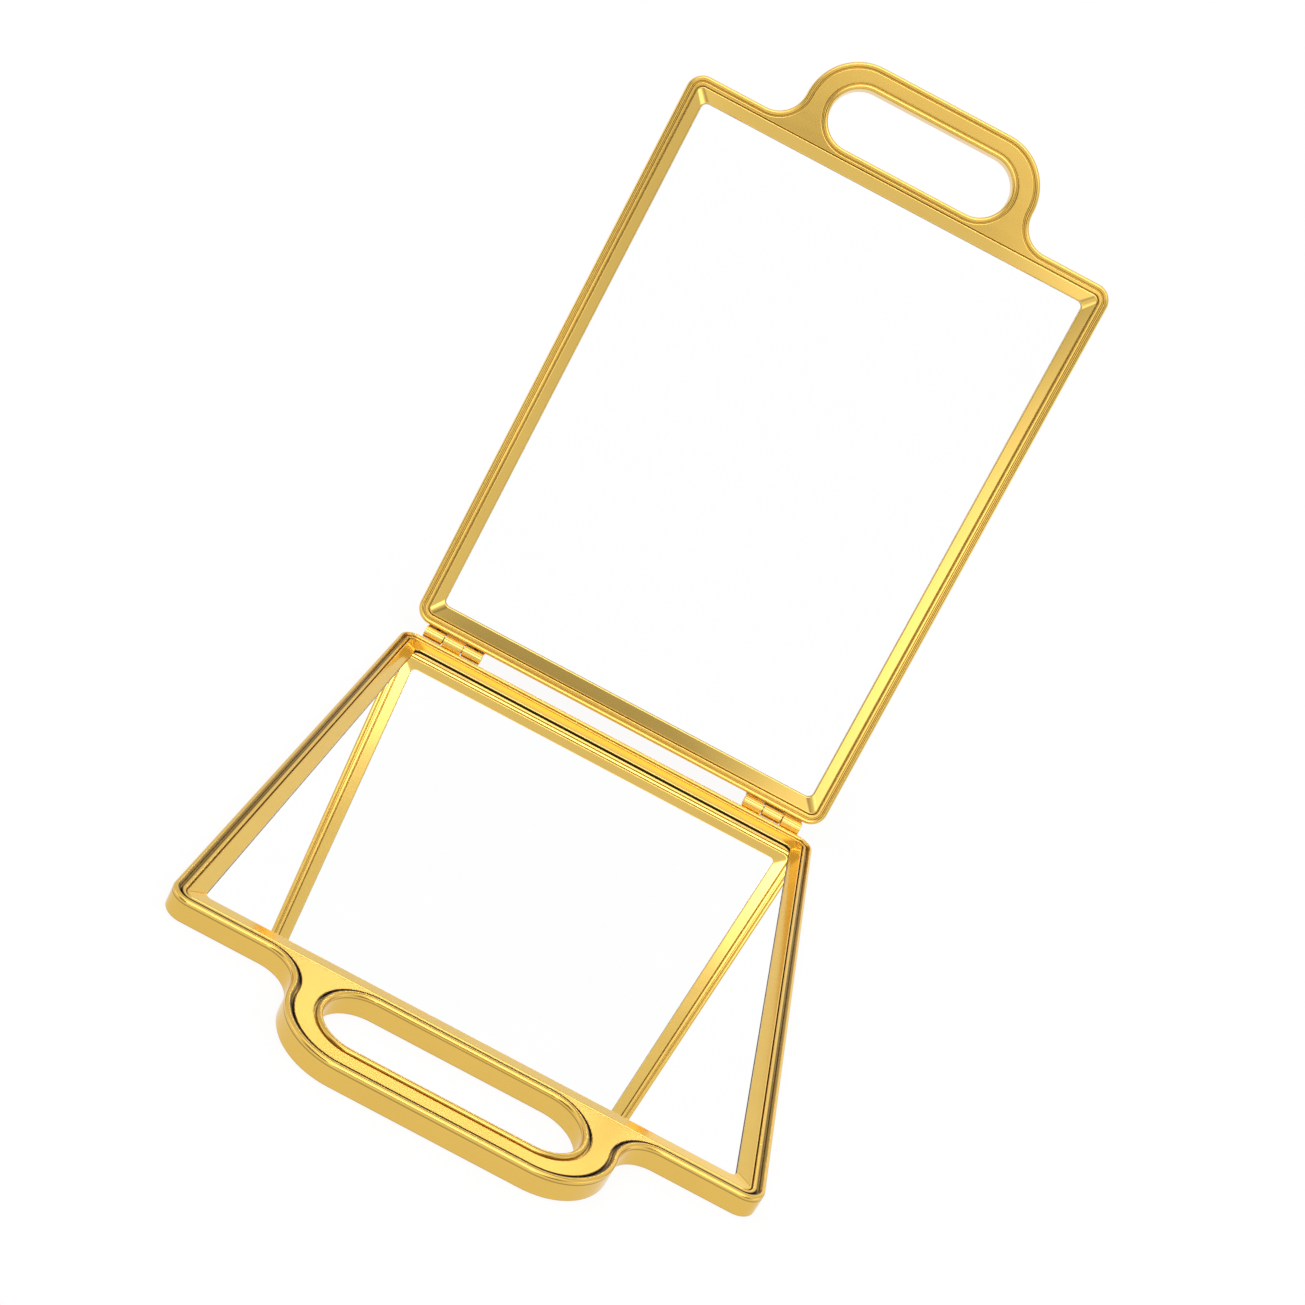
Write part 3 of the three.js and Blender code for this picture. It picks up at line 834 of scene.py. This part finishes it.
def ground_glass_edge():
    """Greenish, finely ground edge of the glass."""
    material, nodes, shader, place = surface("ground_glass_edge")
    grain = nodes.noise(place, GROUND_SIZE, GROUND_DETAIL)
    nodes.link(nodes.mix(nodes.spread(grain, 0, 1), GLASS_EDGE, GLASS_EDGE_PALE), shader.inputs["Base Color"])
    shader.inputs["Roughness"].default_value = GROUND_ROUGHNESS
    bump = nodes.add("ShaderNodeBump")
    bump.inputs["Strength"].default_value = GROUND_GRAIN
    bump.inputs["Distance"].default_value = POLISH_DEPTH
    nodes.link(grain, bump.inputs["Height"])
    nodes.link(bump.outputs["Normal"], shader.inputs["Normal"])
    return material


def foam():
    """Dark closed-cell foam with visible pores, and painted shade in their pits."""
    material, nodes, shader, place = surface("foam")
    cells = nodes.add("ShaderNodeTexVoronoi")
    cells.inputs["Scale"].default_value = 1 / FOAM_CELL
    nodes.link(place, cells.inputs["Vector"])
    # Painted shade: the pits of the pores are coloured darker
    pore = nodes.spread(cells.outputs["Distance"], 0, 1, 0, PORE_REACH)
    nodes.link(nodes.mix(pore, FOAM_PORE_SHADE, FOAM_SKIN), shader.inputs["Base Color"])
    shader.inputs["Roughness"].default_value = FOAM_ROUGHNESS
    bump = nodes.add("ShaderNodeBump")
    bump.inputs["Strength"].default_value = PORE_GRAIN
    bump.inputs["Distance"].default_value = FOAM_CELL * PORE_DEPTH_SHARE
    nodes.link(pore, bump.inputs["Height"])
    nodes.link(bump.outputs["Normal"], shader.inputs["Normal"])
    return material


def nickel():
    """Nickel-plated magnet with a fine tumbled grain."""
    material, nodes, shader, place = surface("nickel")
    shader.inputs["Metallic"].default_value = 1
    grain = nodes.noise(place, WEAR_SIZE, NICKEL_DETAIL)
    nodes.link(nodes.mix(nodes.spread(grain, 0, 1), NICKEL, NICKEL_DULL), shader.inputs["Base Color"])
    nodes.link(nodes.spread(grain, *NICKEL_ROUGHNESS), shader.inputs["Roughness"])
    return material


golds = {name: plated_gold(name, *finish) for name, finish in GOLD_FINISHES.items()}
mirror = mirror_silver()
glass_edge = ground_glass_edge()
foam_rubber = foam()
magnet_nickel = nickel()


# Assembly

def stand_in(piece, node, body, material):
    """Gives a fine piece its material, and puts it in the place of its CAD node."""
    piece.data.materials.clear()
    piece.data.materials.append(material)
    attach(piece, body)
    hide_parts(node)


def edge_the_glass(piece):
    """The glass is silver on its two faces and ground on the rounded edge between them."""
    piece.data.materials.append(glass_edge)
    for face in piece.data.polygons:
        if abs(face.normal.z) < FLAT_FACE:
            face.material_index = 1


for panel, place in (("base", BASE_PLACE), ("lid", LID_PLACE)):
    stand_in(frame_piece(panel, place), f"{panel}_frame", panel, golds["frame_gold"])
    stand_in(bezel_piece(panel, place), f"{panel}_bezel", panel, golds["bezel_gold"])
    stand_in(cover_piece(panel, place), f"{panel}_back_cover", panel, golds["cover_gold"])
    pane = glass_piece(panel, place)
    stand_in(pane, f"{panel}_mirror_glass", panel, mirror)
    edge_the_glass(pane)
    frame["nodes"][f"{panel}_foam_pad"].material_slots[0].material = foam_rubber
    for side in ("left", "right"):
        frame["nodes"][f"{panel}_magnet_{side}"].material_slots[0].material = magnet_nickel

# A panel's own left hinge leaf has two knuckles and its own right leaf has one
HINGE_LEAVES = (
    ("left", "lid", -HINGE_OFFSET, (-1, 1), LID_PLACE),
    ("left", "base", HINGE_OFFSET, (0,), BASE_PLACE),
    ("right", "lid", HINGE_OFFSET, (0,), LID_PLACE),
    ("right", "base", -HINGE_OFFSET, (-1, 1), BASE_PLACE),
)
for side, panel, centre, knuckle_steps, place in HINGE_LEAVES:
    node = f"{side}_hinge_{panel}_leaf"
    leaf = leaf_piece(f"{node}_rolled", centre, knuckle_steps, place)
    stand_in(leaf, node, panel, golds["hinge_gold"])
    for end, step in (("a", -KNUCKLE_STEP), ("b", KNUCKLE_STEP)):
        node = f"{side}_hinge_{panel}_screw_{end}"
        screw = screw_piece(f"{node}_slotted", centre + step, place)
        stand_in(screw, node, panel, golds["screw_gold"])

for side, centre in (("left", HINGE_OFFSET), ("right", -HINGE_OFFSET)):
    node = f"{side}_hinge_pin"
    pin = pin_piece(f"{node}_domed", centre, BASE_PLACE)
    stand_in(pin, node, "base", golds["hinge_gold"])


# Studio

FLOOR_SIZE = 8
FLOOR_WHITE = (0.9, 0.9, 0.9)
FLOOR_GLOW = 0.9

# Each card's azimuth (0 in front, positive to the right), elevation, half width and half height in degrees,
# and the light that it adds
STUDIO_CARDS = {
    "overhead box": (0, 88, 70, 18, 2.0),
    "edge light": (0, 46, 50, 8, 5.0),
    "front box": (0, 38, 50, 20, 1.2),
    "low front box": (0, 13, 32, 13, 0.25),
    "left flag": (-32, 14, 34, 28, -2.3),
    "right flag": (38, 14, 28, 22, -1.0),
    "middle flag": (1, 18, 15, 9, -0.72),
    "low flag": (0, 6, 18, 4, -0.5),
    "left strip": (-12, 10, 9, 20, 2.4),
    "right strip": (9, 11, 6, 16, 1.9),
    "left side box": (-80, 6, 33, 20, 0.85),
    "right side box": (86, 0, 36, 26, 0.9),
    "back box": (160, 20, 47, 39, 0.3),
    "back flag": (154, 72, 60, 18, -0.8),
}
ROOM_LIGHT = 0.92
DARKEST = 0.18

# Lamp behind the mirror: its lower left and upper right corners as x and z in metres, how far back it
# stands, and its power
HANDLE_LAMP_LOW = (-0.15, 0.47)
HANDLE_LAMP_HIGH = (0.21, 0.63)
HANDLE_LAMP_BACK = 0.6
HANDLE_LAMP_WATTS = 0.13


def seen_directly(nodes, rays):
    """1 for camera, glossy and transmission rays, which see the white background itself."""
    first = nodes.math("MAXIMUM", rays.outputs["Is Camera Ray"], rays.outputs["Is Glossy Ray"])
    return nodes.math("MAXIMUM", first, rays.outputs["Is Transmission Ray"])


def white_floor():
    """Matt white floor that glows for the eye, so that only a faint shadow is left on it."""
    material, nodes, shader, _ = surface("studio_floor")
    shader.inputs["Base Color"].default_value = (*FLOOR_WHITE, 1)
    shader.inputs["Roughness"].default_value = 1
    shader.inputs["Specular IOR Level"].default_value = 0
    glow = nodes.add("ShaderNodeEmission")
    rays = nodes.add("ShaderNodeLightPath")
    blend = nodes.add("ShaderNodeMixShader")
    nodes.link(nodes.math("MULTIPLY", seen_directly(nodes, rays), FLOOR_GLOW), blend.inputs["Fac"])
    nodes.link(shader.outputs["BSDF"], blend.inputs[1])
    nodes.link(glow.outputs["Emission"], blend.inputs[2])
    output = next(node for node in nodes.tree.nodes if node.type == "OUTPUT_MATERIAL")
    nodes.link(blend.outputs["Shader"], output.inputs["Surface"])
    return material


def soft_card(nodes, direction, azimuth, elevation, width, height, strength):
    """Light of one soft box, or shade of one flag: full in its middle and fading out to its edge."""
    across = math.radians(azimuth)
    up = math.radians(elevation)
    card = nodes.add("ShaderNodeMapping", vector_type="TEXTURE")
    card.inputs["Location"].default_value = (
        math.sin(across) * math.cos(up),
        -math.cos(across) * math.cos(up),
        math.sin(up),
    )
    card.inputs["Rotation"].default_value = (-up, 0, across)
    card.inputs["Scale"].default_value = (math.sin(math.radians(width)), 1, math.sin(math.radians(height)))
    nodes.link(direction, card.inputs["Vector"])
    fade = nodes.add("ShaderNodeTexGradient", gradient_type="SPHERICAL")
    nodes.link(card.outputs["Vector"], fade.inputs["Vector"])
    light = nodes.add("ShaderNodeMapRange", interpolation_type="SMOOTHSTEP")
    light.inputs["To Max"].default_value = strength
    nodes.link(fade.outputs["Fac"], light.inputs["Value"])
    return light.outputs["Result"]


def studio_world():
    """Soft boxes and flags round the object. The camera and clean mirrors see plain white instead."""
    world = bpy.data.worlds.new("studio")
    world.use_nodes = True
    nodes = Nodes(world.node_tree)
    direction = nodes.add("ShaderNodeTexCoord").outputs["Generated"]
    studio = ROOM_LIGHT
    for card in STUDIO_CARDS.values():
        studio = nodes.math("ADD", studio, soft_card(nodes, direction, *card))
    studio = nodes.math("MAXIMUM", studio, DARKEST)
    rays = nodes.add("ShaderNodeLightPath")
    mirrored = nodes.math("MULTIPLY", rays.outputs["Is Glossy Ray"], rays.outputs["Is Singular Ray"])
    plain = nodes.math("MAXIMUM", rays.outputs["Is Camera Ray"], mirrored)
    lift = nodes.math("MULTIPLY", nodes.math("SUBTRACT", 1, studio), plain)
    sky = nodes.add("ShaderNodeBackground")
    sky.inputs["Color"].default_value = (1, 1, 1, 1)
    nodes.link(nodes.math("ADD", studio, lift), sky.inputs["Strength"])
    output = nodes.add("ShaderNodeOutputWorld")
    nodes.link(sky.outputs["Background"], output.inputs["Surface"])
    bpy.context.scene.world = world


def handle_lamp():
    """Soft lamp behind the mirror, which reaches the base's frame although the lid stands in between."""
    lamp_data = bpy.data.lights.new("handle_lamp", "AREA")
    lamp_data.shape = "RECTANGLE"
    lamp_data.size = HANDLE_LAMP_HIGH[0] - HANDLE_LAMP_LOW[0]
    lamp_data.size_y = HANDLE_LAMP_HIGH[1] - HANDLE_LAMP_LOW[1]
    lamp_data.energy = HANDLE_LAMP_WATTS
    lamp_data.cycles.use_multiple_importance_sampling = False
    lamp = bpy.data.objects.new("handle_lamp", lamp_data)
    middle_x = (HANDLE_LAMP_LOW[0] + HANDLE_LAMP_HIGH[0]) / 2
    middle_z = (HANDLE_LAMP_LOW[1] + HANDLE_LAMP_HIGH[1]) / 2
    middle = Vector((middle_x, HANDLE_LAMP_BACK, middle_z))
    turn = (Vector((0, PANEL_LOW.y, THICKNESS)) - middle).to_track_quat("-Z", "Y")
    lamp.matrix_world = Matrix.Translation(middle) @ turn.to_matrix().to_4x4()
    lamp.visible_camera = False
    lamp.visible_diffuse = False
    bpy.context.scene.collection.objects.link(lamp)
    reached = bpy.data.collections.new("handle_lamp_reaches")
    reached.objects.link(bpy.data.objects["base_frame_casting"])
    lamp.light_linking.receiver_collection = reached
    lamp.light_linking.blocker_collection = reached


def studio_floor():
    """The floor that the base lies on."""
    half = FLOOR_SIZE / 2
    mesh = bpy.data.meshes.new("studio_floor")
    corners = ((-half, -half), (half, -half), (half, half), (-half, half))
    mesh.from_pydata([(x, y, 0) for x, y in corners], [], [(0, 1, 2, 3)])
    mesh.materials.append(white_floor())
    floor = bpy.data.objects.new("studio_floor", mesh)
    bpy.context.scene.collection.objects.link(floor)


studio_floor()
studio_world()
handle_lamp()


# Camera, fitted to the edges of the object in the photograph
IMAGE_SIZE_PX = 1305
FOCAL_LENGTH_PX = 1791.46
OPTICAL_AXIS_PX = (643.06, 608.50)
SENSOR = 36
CAMERA_PLACE = Vector((-17.97, -587.11, 310.12)) * MM
CAMERA_TILT_DEGREES = 71.242
CAMERA_PAN_DEGREES = -0.364
CAMERA_ROLL_DEGREES = 27.946
CLIP_START = 0.01
CLIP_END = 100

camera = bpy.data.objects.new("photo_camera", bpy.data.cameras.new("photo_camera"))
camera.data.sensor_fit = "HORIZONTAL"
camera.data.sensor_width = SENSOR
camera.data.lens = SENSOR * FOCAL_LENGTH_PX / IMAGE_SIZE_PX
camera.data.shift_x = 0.5 - OPTICAL_AXIS_PX[0] / IMAGE_SIZE_PX
camera.data.shift_y = OPTICAL_AXIS_PX[1] / IMAGE_SIZE_PX - 0.5
camera.data.clip_start = CLIP_START
camera.data.clip_end = CLIP_END
camera.matrix_world = (
    Matrix.Translation(CAMERA_PLACE)
    @ Matrix.Rotation(math.radians(CAMERA_TILT_DEGREES), 4, "X")
    @ Matrix.Rotation(math.radians(CAMERA_PAN_DEGREES), 4, "Y")
    @ Matrix.Rotation(math.radians(CAMERA_ROLL_DEGREES), 4, "Z")
)
bpy.context.scene.collection.objects.link(camera)
bpy.context.scene.camera = camera
bpy.context.scene.view_settings.view_transform = "Standard"
